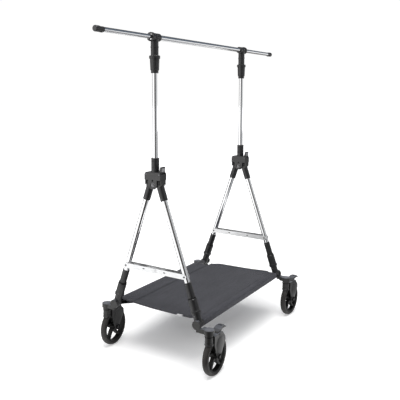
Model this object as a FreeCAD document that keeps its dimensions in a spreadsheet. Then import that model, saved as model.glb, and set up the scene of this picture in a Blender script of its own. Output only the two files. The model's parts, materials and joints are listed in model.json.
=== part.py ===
"""Valet stand: a folding rolling garment rail on four braked castors, with a fabric shelf.

Millimetres. +X runs along the rail, +Y is the back, +Z is up. The origin lies on the floor under
the middle of the rail. A side is -1 (left) or +1 (right); an end is -1 (front) or +1 (back).
Leg pieces are drawn hanging straight down from the hub pivot and are then swung out to the
leg angle, so the drawing is also the folded position.
"""
import FreeCAD, Part
import os
import Sketcher
from FreeCAD import Placement, Rotation, Vector

os.makedirs("parts", exist_ok=True)
doc = FreeCAD.newDocument("valet_stand")

SIZES = {
    # overall
    "frame_spacing": 900, "rail_height": 1650, "rail_half_length": 872,
    "leg_angle": 19.3, "running_gap": 0.3, "pin_gap": 0.6, "fit_gap": 0.1, "tube_wall": 1.5,
    # rail
    "rail_diameter": 26, "rail_tube_half": 480, "extension_diameter": 22, "extension_start": 350,
    "cap_head_diameter": 27.5, "cap_head_length": 26, "cap_neck_diameter": 24, "cap_length": 54,
    "cap_floor": 6, "cap_tongue_width": 8, "cap_tongue_start": 6, "cap_tongue_end": 20,
    # bracket on top of each upright
    "collar_diameter": 38.8, "collar_length": 66, "clip_ring_diameter": 44, "clip_ring_length": 13,
    "clip_ring_proud": 1, "clip_mouth": 14, "boss_diameter": 15, "boss_stand": 3, "boss_hole": 7,
    "stem_diameter": 38, "stem_length": 159, "stem_ring_diameter": 41, "stem_ring_drop": 45,
    "stem_ring_length": 5, "stem_bore_top": 48, "notch_depth": 2, "notch_start": 4,
    "sleeve_bore": 38.8, "sleeve_length": 71, "sleeve_flange_diameter": 54,
    "sleeve_flange_length": 15, "sleeve_top_diameter": 47, "sleeve_foot_diameter": 43,
    "ferrule_diameter": 37, "ferrule_length": 13.5,
    # uprights and hub
    "upright_diameter": 26, "upright_foot": 968, "upright_top": 1600,
    "pivot_height": 926, "hub_width": 100, "hub_depth": 51, "hub_top": 65, "hub_skirt": 25,
    "hub_wall_foot": 1.5, "hub_corner": 11, "hub_tongue_half": 27, "hub_bottom": 20,
    "cover_plate": 6, "cover_rim": 5, "split_gap": 0.15, "recess_depth": 3.4, "recess_diameter": 27,
    "screw_recess_diameter": 13, "window_width": 8, "window_foot": 19,
    "socket_diameter": 40, "socket_top": 134, "socket_foot": 40, "socket_base": 18,
    "socket_lip": 0.8, "socket_lip_length": 4,
    "lever_width": 33, "lever_gap": 1, "lever_slot_end": 30, "lever_top": 93, "lever_face": 49.5,
    "lever_back": 43.8, "screw_diameter": 5, "screw_inset": 40, "pin_head": 1.6,
    # legs, measured down the leg from the hub pivot
    "leg_diameter": 30, "leg_offset": 26.8, "leg_top": 26, "leg_foot": 686,
    "head_diameter": 38, "head_top": 17, "head_foot": 91, "ear_radius": 15.5, "ear_thickness": 17,
    "pivot_pin_diameter": 9, "shoulder_outer": 41, "shoulder_inner": 19, "shoulder_top": 5,
    "leg_ferrule_diameter": 36, "leg_ferrule_top": 506, "leg_ferrule_foot": 596,
    "leg_sleeve_top": 587, "leg_sleeve_foot": 660, "leg_sleeve_bore": 37.2,
    "leg_sleeve_diameter": 45, "leg_flange_diameter": 50, "leg_flange_length": 12,
    # spreader bars
    "spreader_drop": 475.6, "spreader_reach": 182.5, "spreader_depth": 26, "spreader_wall": 1.2,
    "back_channel_width": 36.2, "front_channel_width": 33.2, "spreader_rivet": 6,
    "web_start": 44, "back_web_end": 91, "front_web_end": 158,
    "rivet_head_diameter": 9, "rivet_head": 1.2,
    # feet, side tubes and shelf
    "knuckle_drop": 713, "foot_spigot_diameter": 36.4, "foot_stem_diameter": 39,
    "barrel_diameter": 40, "barrel_inner": 20, "barrel_outer": 12, "side_tube_diameter": 28,
    "side_tube_socket": 8, "hinge_pin_diameter": 12, "hinge_pin_length": 20,
    "hem_diameter": 32, "hem_bore": 28.8, "shelf_hem_half": 424, "shelf_half": 436,
    "shelf_notch": 232,
    # castors
    "arm_disc_diameter": 46, "arm_disc_start": 12.6, "arm_disc_end": 28.6, "castor_reach": 63,
    "castor_offset": 10, "arm_top": 251, "arm_thickness": 22, "arm_plate_diameter": 52,
    "arm_bar_inner": 6, "arm_bar_start": 26,
    "king_pin_diameter": 16, "king_pin_length": 40, "castor_trail": 55, "wheel_radius": 100,
    "wheel_width": 32, "rim_radius": 84, "rim_inner_radius": 77, "rim_width": 26,
    "wheel_hub_radius": 17, "wheel_hub_width": 36, "axle_diameter": 10, "axle_length": 66,
    "fork_width": 50, "fork_top": 116, "fork_slot": 39, "fork_slot_radius": 104,
    "housing_diameter": 41, "housing_foot": 72, "housing_top": 128, "housing_lip": 2,
    "housing_lip_height": 6, "cheek_front": 13, "cheek_foot": 70, "axle_boss_diameter": 26, "axle_boss_width": 57,
    "pedal_width": 37, "pedal_pin_x": 8, "pedal_top": 133, "pedal_reach": 84,
    "pedal_pin_length": 54, "pedal_pin_z": 108.5, "pedal_pin_diameter": 6, "fork_pin_head": 1.8,
    "yaw_front_left": 1, "yaw_front_right": -2, "yaw_back_left": 5, "yaw_back_right": 3,
    "spoke_count": 5, "spoke_width": 20, "spoke_root": 15, "spoke_tip": 11, "spoke_shift": 26,
    "spoke_bow": 7,
}
sheet = doc.addObject("Spreadsheet::Sheet", "Sizes")
for row, (alias, number) in enumerate(SIZES.items(), start=1):
    sheet.set("A%d" % row, alias)
    sheet.set("B%d" % row, str(number))
    sheet.setAlias("B%d" % row, alias)
doc.recompute()

SIDES = {"left": -1, "right": 1}
ENDS = {"front": -1, "back": 1}
nodes = {}


def formula(text):
    """A formula in the sheet's words, as FreeCAD writes it: every alias gets the sheet's name."""
    out, word = "", ""
    for letter in str(text) + " ":
        if letter.isalpha() or letter == "_":
            word += letter
            continue
        out += "Sizes." + word if word in SIZES else word
        word = ""
        out += letter
    return out.strip()


def size(text):
    """The number that a formula gives."""
    return float(sheet.evalExpression(formula(text)))


def body(label, place=None):
    made = doc.addObject("PartDesign::Body", label)
    made.Label = label
    made.Placement = place or Placement()
    return made


def sketch(owner, role, offset="0"):
    """A sketch on one of the body's own origin planes, moved along the plane's normal."""
    plane = next(item for item in owner.Origin.OriginFeatures if item.Role == role)
    made = owner.newObject("Sketcher::SketchObject", owner.Name + "_sketch")
    made.AttachmentSupport = [(plane, "")]
    made.MapMode = "FlatFace"
    made.AttachmentOffset = Placement(Vector(0, 0, size(offset)), Rotation())
    made.setExpression("AttachmentOffset.Base.z", formula(offset))
    return made


def hold(made, kind, edge, corner, text):
    """Ties one point's distance from the sketch's origin along an axis to a formula."""
    if abs(size(text)) < 1e-9:
        axis = -2 if kind == "DistanceX" else -1
        made.addConstraint(Sketcher.Constraint("PointOnObject", edge, corner, axis))
        return
    number = made.addConstraint(Sketcher.Constraint(kind, -1, 1, edge, corner, size(text)))
    made.setExpression("Constraints[%d]" % number, formula(text))


def outline(made, points):
    """A closed outline of straight edges; each point is a pair of formulas."""
    spots = [Vector(size(across), size(up), 0) for across, up in points]
    first = made.GeometryCount
    for here, there in zip(spots, spots[1:] + spots[:1]):
        made.addGeometry(Part.LineSegment(here, there), False)
    count = len(points)
    for step, (across, up) in enumerate(points):
        edge = first + step
        made.addConstraint(
            Sketcher.Constraint("Coincident", edge, 2, first + (step + 1) % count, 1))
        hold(made, "DistanceX", edge, 1, across)
        hold(made, "DistanceY", edge, 1, up)
    return made


def circle(made, diameter, across="0", up="0"):
    centre = Vector(size(across), size(up), 0)
    edge = made.addGeometry(Part.Circle(centre, Vector(0, 0, 1), size(diameter) / 2), False)
    hold(made, "DistanceX", edge, 3, across)
    hold(made, "DistanceY", edge, 3, up)
    number = made.addConstraint(Sketcher.Constraint("Diameter", edge, size(diameter)))
    made.setExpression("Constraints[%d]" % number, formula(diameter))
    return made


def extrude(owner, made, kind, length, toward=0):
    """A Pad or a Pocket of the sketch: toward is 1 along the plane's normal, -1 against, 0 both."""
    feature = owner.newObject("PartDesign::" + kind, owner.Name + "_" + kind.lower())
    feature.Profile = made
    feature.Midplane = toward == 0
    feature.Reversed = toward == (1 if kind == "Pocket" else -1)
    feature.Length = size(length)
    feature.setExpression("Length", formula(length))
    made.Visibility = False
    return feature


def turn(owner, made):
    """A full turn of the sketch round its own upright axis."""
    feature = owner.newObject("PartDesign::Revolution", owner.Name + "_revolution")
    feature.Profile = made
    feature.ReferenceAxis = (made, ["V_Axis"])
    feature.Angle = 360
    made.Visibility = False
    return feature


def round_edges(owner, radius, wanted):
    """Rounds the edges for which wanted(edge) is true."""
    doc.recompute()
    tip = owner.Tip
    names = ["Edge%d" % n for n, edge in enumerate(tip.Shape.Edges, start=1) if wanted(edge)]
    feature = owner.newObject("PartDesign::Fillet", owner.Name + "_fillet")
    feature.Base = (tip, names)
    feature.Radius = radius
    return feature


def runs_along(edge, axis):
    """True for a straight edge that lies along the axis X, Y or Z."""
    if not isinstance(edge.Curve, Part.Line):
        return False
    return abs(edge.tangentAt(edge.FirstParameter)["XYZ".index(axis)]) > 0.999


def tube(label, outer, wall, length, place):
    """A straight tube from the origin up its local Z."""
    made = body(label, place)
    ring = circle(sketch(made, "XY_Plane"), outer)
    circle(ring, "%s - 2 * %s" % (outer, wall))
    extrude(made, ring, "Pad", length, toward=1)
    return made


def turned(label, profile, place):
    """A round piece: the profile is a list of radius and height formulas."""
    made = body(label, place)
    turn(made, outline(sketch(made, "XZ_Plane"), profile))
    return made


def keep(label, *pieces):
    """Names a node: one body, or a group of separate solids that belong together."""
    if len(pieces) == 1:
        nodes[label] = pieces[0]
        return
    group = doc.addObject("Part::Compound", label)
    group.Label = label
    group.Links = list(pieces)
    nodes[label] = group


def frame_x(side):
    return side * size("frame_spacing") / 2


def along_x(across, height, depth=0):
    """Local Z turned to point along +X, from the given point."""
    return Placement(Vector(across, depth, height), Rotation(Vector(0, 1, 0), 90))


def on_leg(side, end, drop="0", across=0):
    """A place on a leg's axis, the drop down from the hub pivot, with local Z up the leg."""
    swing = Rotation(Vector(1, 0, 0), end * size("leg_angle"))
    hub = Placement(Vector(frame_x(side) + across, 0, size("pivot_height")), swing)
    return hub.multiply(Placement(Vector(0, end * size("leg_offset"), -size(drop)), Rotation()))


def at_hub(side):
    return Placement(Vector(frame_x(side), 0, size("pivot_height")), Rotation())


def knuckle(end):
    """Y and Z of the knuckle, where the side tube, the foot and the castor arm meet."""
    spot = on_leg(1, end, "knuckle_drop").Base
    return spot.y, spot.z


def castor_spot(side, end):
    """The floor point under a castor's king pin."""
    across = side * (size("frame_spacing") / 2 + size("castor_offset"))
    return Vector(across, knuckle(end)[0] + end * size("castor_reach"), 0)


# ---------------------------------------------------------------------------- rail and uprights
def end_cap(side):
    """Black end cap: a stepped neck over the extension tube and a wider rounded head."""
    name = "left" if side < 0 else "right"
    across = side * (size("rail_half_length") - size("cap_length"))
    made = body("rail_end_cap_" + name, along_x(across, size("rail_height")))
    neck, bore = "cap_neck_diameter / 2", "extension_diameter / 2 + fit_gap"
    shoulder, floor = "cap_length - cap_head_length", "cap_length - cap_floor"
    head = "cap_head_diameter / 2"
    profile = [(bore, "0"), (neck, "0"), (neck, shoulder), (head, shoulder), (head, "cap_length - 4"),
               (head + " - 1.2", "cap_length - 1.2"), (head + " - 4", "cap_length"),
               ("0", "cap_length"), ("0", floor), (bore, floor)]
    flip = "%d * (" % side
    turn(made, outline(sketch(made, "XZ_Plane"), [(r, flip + z + ")") for r, z in profile]))
    tongue = outline(sketch(made, "YZ_Plane"), [
        ("-cap_tongue_width / 2", flip + "cap_tongue_start)"),
        ("cap_tongue_width / 2", flip + "cap_tongue_start)"),
        ("cap_tongue_width / 2", flip + "cap_tongue_end)"),
        ("-cap_tongue_width / 2", flip + "cap_tongue_end)")])
    extrude(made, tongue, "Pad", "cap_neck_diameter / 2 + 2", toward=1)
    hollow = circle(sketch(made, "XY_Plane"), "extension_diameter + 2 * fit_gap")
    extrude(made, hollow, "Pocket", "cap_length - cap_floor", toward=side)
    return made


def rail_bracket(label, side):
    """Black T bracket: a stem over the upright, a collar round the rail, a clip ring outside."""
    made = body(label, Placement(Vector(frame_x(side), 0, size("rail_height")), Rotation()))
    bore, stem = "upright_diameter / 2 + running_gap", "stem_diameter / 2"
    ring, ring_top = "stem_ring_diameter / 2", "-stem_ring_drop"
    turn(made, outline(sketch(made, "XZ_Plane"), [
        (bore, "-stem_length"), (stem, "-stem_length"), (stem, "-stem_ring_drop - stem_ring_length"),
        (ring, "-stem_ring_drop - stem_ring_length"), (ring, ring_top), (stem, ring_top), (stem, "0"),
        ("0", "0"), ("0", "-stem_bore_top"), (bore, "-stem_bore_top")]))
    extrude(made, circle(sketch(made, "YZ_Plane"), "collar_diameter"), "Pad", "collar_length")
    clip_start = "%d * (collar_length / 2 - clip_ring_length)" % side
    clip = circle(sketch(made, "YZ_Plane", clip_start), "clip_ring_diameter")
    extrude(made, clip, "Pad", "clip_ring_length + clip_ring_proud", toward=side)
    boss = circle(sketch(made, "XZ_Plane"), "boss_diameter")
    extrude(made, boss, "Pad", "collar_diameter / 2 + boss_stand", toward=1)
    rail_bore = circle(sketch(made, "YZ_Plane"), "rail_diameter + 2 * running_gap")
    extrude(made, rail_bore, "Pocket", "4 * collar_length")
    screw_hole = circle(sketch(made, "XZ_Plane"), "boss_hole")
    extrude(made, screw_hole, "Pocket", "collar_diameter", toward=1)
    mouth = outline(sketch(made, "YZ_Plane", clip_start), [
        ("-clip_mouth / 2", "-clip_ring_diameter"), ("clip_mouth / 2", "-clip_ring_diameter"),
        ("clip_mouth / 2", "0"), ("-clip_mouth / 2", "0")])
    extrude(made, mouth, "Pocket", "2 * clip_ring_length", toward=side)
    for drop in (58, 70, 82):
        notch = outline(sketch(made, "XZ_Plane", "stem_diameter / 2 - notch_depth"), [
            ("notch_start", str(-drop)), ("stem_diameter", str(-drop - 4)),
            ("stem_diameter", str(4 - drop)), ("notch_start", str(5 - drop))])
        extrude(made, notch, "Pocket", "stem_diameter / 2", toward=1)
    return made


def make_rail():
    height = size("rail_height")
    half, start = size("rail_tube_half"), size("extension_start")
    centre = tube("rail_tube", "rail_diameter", "tube_wall", "2 * rail_tube_half",
                  along_x(-half, height))
    keep("rail_tube", centre)
    screws = []
    for name, side in SIDES.items():
        low = start if side > 0 else -size("rail_half_length - cap_floor - 1")
        keep("rail_extension_" + name, tube(
            "rail_extension_" + name, "extension_diameter", "tube_wall",
            "rail_half_length - cap_floor - 1 - extension_start", along_x(low, height)))
        keep("rail_end_cap_" + name, end_cap(side))
        keep("rail_bracket_" + name, rail_bracket("rail_bracket_" + name, side))
        front = Rotation(Vector(1, 0, 0), 90)
        spot = Vector(frame_x(side), -size("rail_diameter") / 2 - 0.4, height)
        screws.append(turned("rail_bracket_screw_" + name, [
            ("0", "0"), ("2.5", "0"), ("3.2", "3"), ("3.2", "7"), ("0", "7")],
            Placement(spot, front)))
    keep("rail_bracket_screws", *screws)


def make_uprights():
    ferrules = []
    for name, side in SIDES.items():
        foot = Vector(frame_x(side), 0, size("upright_foot"))
        keep("upright_" + name, tube("upright_" + name, "upright_diameter", "tube_wall",
                                     "upright_top - upright_foot", Placement(foot, Rotation())))
        stem_foot = size("rail_height - stem_length")
        at_stem = Placement(Vector(frame_x(side), 0, stem_foot), Rotation())
        bore = "upright_diameter / 2 + fit_gap"
        ferrules.append(turned("upright_ferrule_" + name, [
            (bore, "-ferrule_length - 0.5"), ("ferrule_diameter / 2 - 1.5", "-ferrule_length - 0.5"),
            ("ferrule_diameter / 2", "-ferrule_length + 1"), ("ferrule_diameter / 2", "-0.5"),
            (bore, "-0.5")], at_stem))
        radius, top = "sleeve_top_diameter / 2", "sleeve_length - sleeve_flange_length"
        flange, hole = "sleeve_flange_diameter / 2", "sleeve_bore / 2"
        sleeve = turned("top_sleeve_" + name, [
            (hole, "0"), ("sleeve_foot_diameter / 2 - 1.5", "0"), ("sleeve_foot_diameter / 2", "2"),
            (radius, top), (flange, top), (flange, "sleeve_length - 2"),
            (flange + " - 2", "sleeve_length"), (hole, "sleeve_length")], at_stem)
        keep("top_sleeve_" + name, sleeve)
    keep("upright_ferrules", *ferrules)


# ---------------------------------------------------------------------------- hub
def hub_outline(made):
    """The cover's face: square shoulders above, and a tongue that hangs down round the pivot."""
    half, corner = "hub_width / 2", "hub_width / 2 - hub_corner / 3"
    tongue, low = "hub_tongue_half", "-hub_bottom"
    right = [("hub_tongue_half / 2", low), (tongue + " + 4", "hub_wall_foot"), (half, "hub_wall_foot"),
             (half, "hub_top - hub_corner"), (corner, "hub_top - hub_corner / 3"),
             ("hub_width / 2 - hub_corner", "hub_top")]
    left = [("-(%s)" % across, up) for across, up in reversed(right)]
    return outline(made, right + left)


def hub_cover(label, side, face):
    """One shell of a hub: face +1 looks away from the shelf, face -1 looks along it."""
    made = body(label, at_hub(side))
    out = side * face
    inner = "%d * split_gap" % out
    extrude(made, hub_outline(sketch(made, "YZ_Plane", inner)), "Pad", "hub_depth / 2 - split_gap",
            toward=out)
    round_edges(made, 2.0, lambda edge: abs(edge.CenterOfMass.x) > size("hub_depth") / 2 - 0.1)
    wall = "hub_width / 2 - cover_rim"
    hollow = outline(sketch(made, "YZ_Plane", inner), [
        ("-(%s)" % wall, "-2 * hub_bottom"), (wall, "-2 * hub_bottom"),
        (wall, "hub_top - cover_rim"), ("-(%s)" % wall, "hub_top - cover_rim")])
    extrude(made, hollow, "Pocket", "hub_depth / 2 - cover_plate - split_gap", toward=out)
    neck = circle(sketch(made, "XY_Plane", "socket_foot - 1"), "socket_diameter + 2 * running_gap")
    extrude(made, neck, "Pocket", "hub_top", toward=1)
    slot_side = "lever_width / 2 + lever_gap"
    slot = outline(sketch(made, "XY_Plane", "hub_top - 2 * cover_rim"), [
        ("-(%s)" % slot_side, "-hub_width"), (slot_side, "-hub_width"),
        (slot_side, "-lever_slot_end"), ("-(%s)" % slot_side, "-lever_slot_end")])
    extrude(made, slot, "Pocket", "4 * cover_rim", toward=1)
    face_at = "%d * hub_depth / 2" % out
    for edge, outer in (("hub_tongue_half", "hub_width"), ("-hub_width", "-hub_tongue_half")):
        notch = outline(sketch(made, "YZ_Plane", face_at), [
            (edge, "-hub_bottom"), (outer, "-hub_bottom"), (outer, "hub_skirt"), (edge, "hub_skirt")])
        extrude(made, notch, "Pocket", "cover_plate", toward=-out)
    recess = circle(sketch(made, "YZ_Plane", face_at), "recess_diameter")
    extrude(made, recess, "Pocket", "recess_depth", toward=-out)
    for across in (-1, 1):
        corner = circle(sketch(made, "YZ_Plane", face_at), "screw_recess_diameter",
                        "%d * screw_inset" % across, "hub_top - hub_corner")
        extrude(made, corner, "Pocket", "recess_depth", toward=-out)
    window = outline(sketch(made, "YZ_Plane", face_at), [
        ("-window_width / 2", "window_foot"), ("window_width / 2", "window_foot"),
        ("window_width / 2", "window_foot + window_width"),
        ("-window_width / 2", "window_foot + window_width")])
    extrude(made, window, "Pocket", "2 * cover_plate", toward=-out)
    for diameter, across, up in (("pivot_pin_diameter", "0", "0"),
                                 ("screw_diameter", "screw_inset", "hub_top - hub_corner"),
                                 ("screw_diameter", "-screw_inset", "hub_top - hub_corner")):
        hole = circle(sketch(made, "YZ_Plane"), diameter + " + pin_gap", across, up)
        extrude(made, hole, "Pocket", "2 * hub_depth")
    return made


def hub_socket(label, side):
    """The casting that grips the upright's foot between the two covers."""
    made = body(label, at_hub(side))
    base = "hub_depth / 2 - cover_plate - 0.5"
    block = outline(sketch(made, "XY_Plane", "socket_foot"), [
        ("-(%s)" % base, "-27"), (base, "-27"), (base, "30"), ("-(%s)" % base, "30")])
    extrude(made, block, "Pad", "socket_base", toward=1)
    neck = circle(sketch(made, "XY_Plane", "socket_foot"), "socket_diameter")
    extrude(made, neck, "Pad", "socket_top - socket_foot", toward=1)
    lip = circle(sketch(made, "XY_Plane", "socket_top - socket_lip_length"),
                 "socket_diameter + 2 * socket_lip")
    extrude(made, lip, "Pad", "socket_lip_length", toward=1)
    hole = circle(sketch(made, "XY_Plane", "socket_foot"), "upright_diameter + 2 * running_gap")
    extrude(made, hole, "Pocket", "2 * socket_top", toward=1)
    return made


def hub_lever(label, side):
    """The thumb latch: a tab that stands above the hub's front and turns on a pin inside."""
    made = body(label, at_hub(side))
    pin, face = "hub_top - hub_corner", "-lever_face"
    tab = outline(sketch(made, "YZ_Plane"), [
        ("-42.5", pin + " - 10"), ("-36", pin + " - 10"), ("-32.5", pin), ("-34", pin + " + 12"),
        ("-38", "lever_top - 16"), ("-41.5", "lever_top - 2"), ("-45", "lever_top"),
        (face, "lever_top - 3"), (face + " + 1", "lever_top - 14"), (face, "hub_top - 1"),
        ("-lever_back", "hub_top - 6"), ("-lever_back", pin + " - 4")])
    extrude(made, tab, "Pad", "lever_width")
    hole = circle(sketch(made, "YZ_Plane"), "screw_diameter + pin_gap", "-screw_inset", pin)
    extrude(made, hole, "Pocket", "2 * lever_width")
    round_edges(made, 1.2, lambda edge: runs_along(edge, "X") and edge.CenterOfMass.z > 70)
    return made


def hub_pin(label, side, diameter, across, up):
    """A pin or screw through the hub from face to face, with a low round head at each end."""
    spot = Vector(frame_x(side), size(across), size("pivot_height") + size(up))
    head, shaft = diameter + " * 0.9", diameter + " / 2"
    under, top = "(hub_depth / 2 - recess_depth + 0.8)", "(hub_depth / 2 - recess_depth + 0.8 + pin_head)"
    half = [("0", top + " + 1.2"), (head, top + " + 0.8"), (head, under), (shaft, under)]
    other = [(radius, "-(%s)" % along) for radius, along in reversed(half)]
    return turned(label, half + other, Placement(spot, Rotation(Vector(0, 1, 0), 90)))


def make_hubs():
    outer, inner, sockets, fasteners = [], [], [], []
    for name, side in SIDES.items():
        outer.append(hub_cover("hub_outer_cover_" + name, side, 1))
        inner.append(hub_cover("hub_inner_cover_" + name, side, -1))
        sockets.append(hub_socket("hub_socket_" + name, side))
        keep("hub_lever_" + name, hub_lever("hub_lever_" + name, side))
        for tag, diameter, across, up in (
                ("pivot_pin", "pivot_pin_diameter", "0", "0"),
                ("lever_screw", "screw_diameter", "-screw_inset", "hub_top - hub_corner"),
                ("back_screw", "screw_diameter", "screw_inset", "hub_top - hub_corner")):
            fasteners.append(hub_pin("hub_%s_%s" % (tag, name), side, diameter, across, up))
    keep("hub_sockets", *sockets)
    keep("hub_outer_covers", *outer)
    keep("hub_inner_covers", *inner)
    keep("hub_fasteners", *fasteners)


# ---------------------------------------------------------------------------- legs
def leg_head(label, side, end):
    """The black head on a leg: a socket, a shoulder inside the hub and an ear on the pivot pin."""
    made = body(label, on_leg(side, end))
    socket = circle(sketch(made, "XY_Plane", "-head_foot"), "head_diameter")
    extrude(made, socket, "Pad", "head_foot - head_top", toward=1)
    lean = "%d * " % end
    shoulder = outline(sketch(made, "YZ_Plane"), [
        (lean + "(shoulder_inner - leg_offset)", "-head_top - 3"),
        (lean + "(shoulder_outer - leg_offset)", "-head_top - 3"),
        (lean + "(shoulder_outer - leg_offset)", "shoulder_top - 6"),
        (lean + "(shoulder_outer - leg_offset - 5)", "shoulder_top"),
        (lean + "(shoulder_inner - leg_offset)", "shoulder_top")])
    extrude(made, shoulder, "Pad", "2 * ear_thickness + 2")
    start = "%d * 1" % -end
    ear = circle(sketch(made, "YZ_Plane", start), "2 * ear_radius", "%d * leg_offset" % -end, "0")
    extrude(made, ear, "Pad", "ear_thickness", toward=-end)
    neck = outline(sketch(made, "YZ_Plane", start), [
        (lean + "(4 - leg_offset)", "-14.5"),
        (lean + "(shoulder_inner - leg_offset + 4)", "-head_top - 3"),
        (lean + "(shoulder_inner - leg_offset + 4)", "shoulder_top"), (lean + "(-leg_offset)", "12")])
    extrude(made, neck, "Pad", "ear_thickness", toward=-end)
    bore = circle(sketch(made, "XY_Plane", "-head_foot"), "leg_diameter + 2 * running_gap")
    extrude(made, bore, "Pocket", "head_foot - leg_top + 1", toward=1)
    pin = circle(sketch(made, "YZ_Plane"), "pivot_pin_diameter + pin_gap",
                 "%d * leg_offset" % -end)
    extrude(made, pin, "Pocket", "2 * hub_depth")
    return made


def foot(label, side, end):
    """The black foot: a spigot and stem up the leg and a barrel across, round the knuckle."""
    made = body(label, on_leg(side, end, "knuckle_drop"))
    spigot = circle(sketch(made, "XY_Plane", "barrel_diameter"), "foot_spigot_diameter")
    stem_top = "knuckle_drop - leg_sleeve_foot - 0.5"
    stem = circle(sketch(made, "XY_Plane"), "foot_stem_diameter")
    extrude(made, stem, "Pad", stem_top, toward=1)
    extrude(made, spigot, "Pad", "knuckle_drop - leg_ferrule_foot - 2 - barrel_diameter", toward=1)
    start = "%d * barrel_inner" % -side
    barrel = circle(sketch(made, "YZ_Plane", start), "barrel_diameter")
    extrude(made, barrel, "Pad", "barrel_inner + barrel_outer", toward=side)
    ends = outline(sketch(made, "YZ_Plane", "%d * barrel_outer" % side), [
        ("-60", "-60"), ("60", "-60"), ("60", "arm_disc_diameter / 2 + 1"),
        ("-60", "arm_disc_diameter / 2 + 1")])
    extrude(made, ends, "Pocket", "barrel_diameter", toward=side)
    bore = circle(sketch(made, "XY_Plane", "knuckle_drop - leg_foot - 1"),
                  "leg_diameter + 2 * running_gap")
    extrude(made, bore, "Pocket", "knuckle_drop", toward=1)
    tube_seat = circle(sketch(made, "YZ_Plane", start), "side_tube_diameter + 2 * running_gap")
    extrude(made, tube_seat, "Pocket", "side_tube_socket", toward=side)
    pin_seat = circle(sketch(made, "YZ_Plane", "%d * barrel_outer" % side),
                      "hinge_pin_diameter + pin_gap")
    extrude(made, pin_seat, "Pocket", "hinge_pin_length", toward=-side)
    return made


def make_legs():
    for end_name, end in ENDS.items():
        heads, ferrules, feet = [], [], []
        for name, side in SIDES.items():
            tag = "%s_%s" % (end_name, name)
            leg = tube("leg_" + tag, "leg_diameter", "tube_wall", "leg_foot - leg_top",
                       on_leg(side, end, "leg_foot"))
            rivet = circle(sketch(leg, "YZ_Plane"), "spreader_rivet + pin_gap", "0",
                           "leg_foot - spreader_drop")
            extrude(leg, rivet, "Pocket", "4 * leg_diameter")
            keep("leg_" + tag, leg)
            heads.append(leg_head("leg_head_" + tag, side, end))
            bore = "leg_diameter / 2 + fit_gap"
            radius = "leg_ferrule_diameter / 2"
            ferrules.append(turned("leg_ferrule_" + tag, [
                (bore, "0"), (radius, "0"), (radius, "leg_ferrule_foot - leg_ferrule_top - 1.5"),
                (radius + " - 1.5", "leg_ferrule_foot - leg_ferrule_top"),
                (bore, "leg_ferrule_foot - leg_ferrule_top")], on_leg(side, end, "leg_ferrule_foot")))
            hole, outer = "leg_sleeve_bore / 2", "leg_sleeve_diameter / 2"
            length = "leg_sleeve_foot - leg_sleeve_top"
            keep("leg_sleeve_" + tag, turned("leg_sleeve_" + tag, [
                (hole, "0"), ("leg_flange_diameter / 2 - 1.5", "0"), ("leg_flange_diameter / 2", "1.5"),
                ("leg_flange_diameter / 2", "leg_flange_length"), (outer, "leg_flange_length + 2"),
                (outer, length + " - 4"), (outer + " - 2.5", length), (hole, length)],
                on_leg(side, end, "leg_sleeve_foot")))
            feet.append(foot("foot_" + tag, side, end))
        keep(end_name + "_leg_heads", *heads)
        keep(end_name + "_leg_ferrules", *ferrules)
        keep(end_name + "_feet", *feet)


def spreader(label, side, end):
    """Half a spreader: a channel, open upwards, that straddles its leg and laps its twin."""
    made = body(label, Placement(on_leg(side, end, "spreader_drop").Base, Rotation()))
    width = "back_channel_width" if end > 0 else "front_channel_width"
    web_end = "back_web_end" if end > 0 else "front_web_end"
    inward = "%d * " % -end
    half = "spreader_depth / 2"
    bar = outline(sketch(made, "YZ_Plane"), [
        ("0", "-" + half), (inward + "spreader_reach", "-" + half),
        (inward + "spreader_reach", half), ("0", half)])
    extrude(made, bar, "Pad", width)
    for across in ("0", inward + "spreader_reach"):
        extrude(made, circle(sketch(made, "YZ_Plane"), "spreader_depth", across, "0"), "Pad", width)
    floor = "-%s + spreader_wall" % half
    inside = outline(sketch(made, "YZ_Plane"), [
        (inward + "(-spreader_depth)", "-spreader_depth"), (inward + "web_start", "-spreader_depth"),
        (inward + "web_start", floor), (inward + web_end, floor),
        (inward + web_end, "-spreader_depth"), (inward + "(spreader_reach + 20)", "-spreader_depth"),
        (inward + "(spreader_reach + 20)", "spreader_depth"),
        (inward + "(-spreader_depth)", "spreader_depth")])
    extrude(made, inside, "Pocket", width + " - 2 * spreader_wall")
    rivet = circle(sketch(made, "YZ_Plane"), "spreader_rivet")
    extrude(made, rivet, "Pad", width + " + 2")
    if end > 0:
        for face in (-1, 1):
            at_face = "%d * (back_channel_width / 2 - spreader_wall / 2)" % face
            head = circle(sketch(made, "YZ_Plane", at_face), "rivet_head_diameter",
                          inward + "spreader_reach")
            extrude(made, head, "Pad", "spreader_wall / 2 + rivet_head", toward=face)
    return made


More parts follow.
